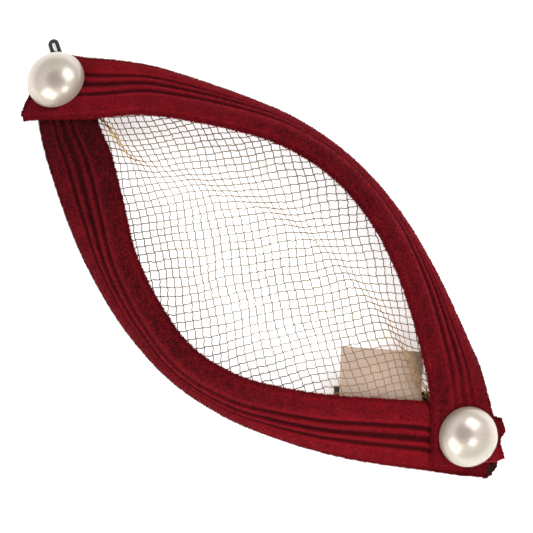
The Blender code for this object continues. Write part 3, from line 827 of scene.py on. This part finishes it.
# Painted reflection: a darker patch where the dome faces up.
with_dark_reflection = (0.9 * painted_dark_reflection).mix(blush, (0.29, 0.235, 0.20, 1))
# Painted shade: the dome's rim is painted darker.
feed(bowl.between(0.80, 1.0).mix(with_dark_reflection, (0.32, 0.265, 0.215, 1)), shader, "Base Color")
feed(0.24 + 0.06 * veil, shader, "Roughness")
bumped(shader, spots(wire, 240, 2), 0.00012, 0.12)

for name, x in (("pearl_left", -HALF_SPAN), ("pearl_right", HALF_SPAN)):
    dome = start_primitive(bpy.ops.mesh.primitive_uv_sphere_add, segments=PEARL_SIDES, ring_count=PEARL_RINGS,
                           radius=1)
    dome.name = dome.data.name = name + "_dome"
    slope = (crossing_top(x + PEARL_RADIUS, 0) - crossing_top(x - PEARL_RADIUS, 0)) / (2 * PEARL_RADIUS)
    level = max(crossing_top(x + dx * PEARL_RADIUS, dy * PEARL_RADIUS) - slope * dx * PEARL_RADIUS
                for dx, dy in PEARL_SEAT_SPOTS)
    axis = Vector((-slope, 0, 1)).normalized()
    seat = Vector((x, 0, level)) + axis * GAP + CAP_SHIFT
    tip = Vector((0, 0, 1)).rotation_difference(axis).to_matrix()
    bowls = []
    for vertex in dome.data.vertices:
        way = Vector((vertex.co.x, vertex.co.y))
        around = way.normalized() if way.length > 1e-6 else Vector((0, 0))
        if vertex.co.z >= -1e-6:
            off = PEARL_RADIUS * way.length
            height = PEARL_BACK_EDGE + (PEARL_HEIGHT - PEARL_BACK_EDGE) * vertex.co.z
        else:
            below = math.acos(min(1.0, way.length))
            curl = min(1.0, below / CURL_ENDS)
            inward = max(0.0, (below - CURL_ENDS) / (math.pi / 2 - CURL_ENDS))
            off = (PEARL_RADIUS - PEARL_BACK_EDGE * (1 - math.cos(curl * math.pi / 2))) * (1 - inward)
            height = PEARL_BACK_EDGE * (1 - math.sin(curl * math.pi / 2))
        vertex.co = tip @ Vector((around.x * off, around.y * off, height)) + seat
        bowls.append(off / PEARL_RADIUS)
    dome.data.attributes.new("bowl", "FLOAT", "POINT").data.foreach_set("value", bowls)
    painted_dark_reflections = [ease(vertex.normal.dot(DARK_REFLECTION_WAY), DARK_REFLECTION_FAINT, DARK_REFLECTION_FULL) for vertex in dome.data.vertices]
    dome.data.attributes.new("painted_dark_reflection", "FLOAT", "POINT").data.foreach_set("value", painted_dark_reflections)
    bpy.ops.object.shade_smooth_by_angle(angle=math.radians(60))
    dome.data.materials.append(coating)
    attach(dome, "root")
    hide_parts(name)


# Hair loop. A short end of black round elastic, doubled back on itself and caught between the bands at the left
# end, for a hair pin.
CORD_RADIUS = 0.00085
LOOP_LENGTH = 0.0072
LOOP_WIDTH = 0.0030
LOOP_HIDDEN = 0.0030
LOOP_HEADING = math.radians(150)
LEG_STEPS, BEND_STEPS = 6, 20

corner = underside(UPPER_SECTIONS, UPPER_REACH, 1, UPPER_SECTIONS[0].along, True)[-1]
way_out = Vector((math.cos(LOOP_HEADING), math.sin(LOOP_HEADING), 0))
beside = Vector((-way_out.y, way_out.x, 0))
root = Vector((corner[0], corner[1], 0)) - way_out * LOOP_HIDDEN - beside * LOOP_WIDTH
bend = LOOP_WIDTH / 2
straight = LOOP_LENGTH - bend
route = [root - beside * bend + way_out * straight * k / LEG_STEPS for k in range(LEG_STEPS)]
turns = [math.pi * k / BEND_STEPS for k in range(BEND_STEPS + 1)]
route += [root + way_out * (straight + bend * math.sin(turn)) - beside * bend * math.cos(turn) for turn in turns]
route += [root + beside * bend + way_out * straight * k / LEG_STEPS for k in reversed(range(LEG_STEPS))]
level = upper_lift(corner[0]) - GAP - CORD_RADIUS
elastic = bpy.data.curves.new("hair_loop_cord", "CURVE")
elastic.dimensions = "3D"
spline = elastic.splines.new("POLY")
spline.points.add(len(route) - 1)
for point, place in zip(spline.points, route):
    place = place + CAP_SHIFT
    point.co = (place.x, place.y, level, 1)
elastic.bevel_depth = CORD_RADIUS
elastic.bevel_resolution = 4
elastic.use_fill_caps = True
loop = bpy.data.objects.new("hair_loop_cord", elastic)
bpy.context.scene.collection.objects.link(loop)
bpy.ops.object.select_all(action="DESELECT")
loop.select_set(True)
bpy.context.view_layer.objects.active = loop
bpy.ops.object.convert(target="MESH")
loop = bpy.context.active_object
loop.name = loop.data.name = "hair_loop_cord"
bpy.ops.object.shade_smooth()
braid, shader, wire = material("black_elastic", (0.012, 0.012, 0.012), 0.75, Sheen_Weight=0.2)
ribs = spots(wire, 2600, 2)
feed(ribs.between(0.3, 0.7).mix((0.006, 0.006, 0.006, 1), (0.03, 0.028, 0.028, 1)), shader, "Base Color")
bumped(shader, ribs, 0.00015, 0.8)
loop.data.materials.append(braid)
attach(loop, "root")
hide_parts("hair_loop")


# Label. A plain strip of beige woven ribbon folded flat, sewn by one long edge to the lower band's inside and left
# loose, so that it shows through the net. A black woven tape finishes the seam behind it.
LABEL_LENGTH, LABEL_WIDTH, LABEL_THICKNESS = 0.0345, 0.0248, 0.0010
TAPE_LENGTH, TAPE_WIDTH, TAPE_SLIDE = 0.0425, 0.0080, 0.0017
LABEL_DROOP = 0.0020
LABEL_ALONG = 0.681
LABEL_TUCK = 0.0025
LABEL_RUN = 0.05
LABEL_RIPPLE = 0.0006
LABEL_CELLS_ALONG, LABEL_CELLS_ACROSS = 60, 30
WEAVE_SCALE, WEAVE_TURN = 420, -0.62
NET_THICKNESS = 0.0012
NET_SAG = 0.0006


def sewn_strip(name, length, width, slide, depth, wave, finish, node):
    """A flat woven piece along the lower band's inner edge, its free edge hanging a little, as its solid does."""
    middle = inner_edge(LOWER_SECTIONS, LOWER_REACH, -1, LABEL_ALONG)
    near = inner_edge(LOWER_SECTIONS, LOWER_REACH, -1, LABEL_ALONG - LABEL_RUN)
    run = (middle - near).normalized()
    inward = Vector((-run.y, run.x))
    heights = [head_form(*(middle + run * LABEL_LENGTH / 2 * end)) for end in (-1, 1)]
    rise = (heights[1] - heights[0]) / LABEL_LENGTH
    level = (heights[0] + heights[1]) / 2 - depth
    strip = start_primitive(bpy.ops.mesh.primitive_grid_add, x_subdivisions=LABEL_CELLS_ALONG,
                            y_subdivisions=LABEL_CELLS_ACROSS, size=1)
    strip.name = strip.data.name = name
    for vertex in strip.data.vertices:
        u, v = vertex.co.x, vertex.co.y + 0.5
        off, out = u * length + slide, v * width
        place = middle + run * off + inward * (out - LABEL_TUCK)
        ripple = wave * v * noise.noise(Vector((u * 2.2, v * 1.4, 6.0)))
        vertex.co = Vector((place.x, place.y, level + rise * off - LABEL_DROOP * out / LABEL_WIDTH - abs(ripple)))
        vertex.co += CAP_SHIFT
    wall = strip.modifiers.new("wall", "SOLIDIFY")
    wall.thickness, wall.offset = LABEL_THICKNESS * 0.5, -1
    bpy.ops.object.modifier_apply(modifier="wall")
    bpy.ops.object.shade_smooth_by_angle(angle=math.radians(50))
    strip.data.materials.append(finish)
    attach(strip, "root")
    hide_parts(node)
    return strip


def woven(name, light, dark, roughness):
    """Plain ribbon weave: fine ribs along and across the piece."""
    made, shader, wire = material(name, light[:3], roughness, Sheen_Weight=0.15)
    place = wire.node("TexCoord", {}, {}, "Object")
    turned = wire.node("Mapping", {}, {"Vector": place, "Rotation": (0, 0, WEAVE_TURN)})
    ribs = [wire.node("TexWave", {"bands_direction": way},
                      {"Vector": turned, "Scale": WEAVE_SCALE, "Distortion": 0.6}, "Fac") for way in ("X", "Y")]
    weave = 0.5 * ribs[0] + 0.5 * ribs[1]
    stain = spots(wire, 120, 2)
    feed((0.5 * weave + 0.5 * stain).between(0.25, 0.75).mix(dark, light), shader, "Base Color")
    bumped(shader, weave, 0.00012, 0.7)
    return made


under_net = GAP + NET_THICKNESS + NET_SAG + GAP
linen = woven("beige_ribbon", (0.56, 0.43, 0.35, 1), (0.45, 0.335, 0.27, 1), 0.75)
black = woven("black_tape", (0.030, 0.026, 0.024, 1), (0.008, 0.007, 0.007, 1), 0.7)
under_label = under_net + LABEL_THICKNESS + GAP
label = sewn_strip("ribbon_label", LABEL_LENGTH, LABEL_WIDTH, 0.0, under_net, LABEL_RIPPLE, linen, "label")
tape = sewn_strip("seam_tape", TAPE_LENGTH, TAPE_WIDTH, TAPE_SLIDE, under_label, 0.0, black, "label_tape")
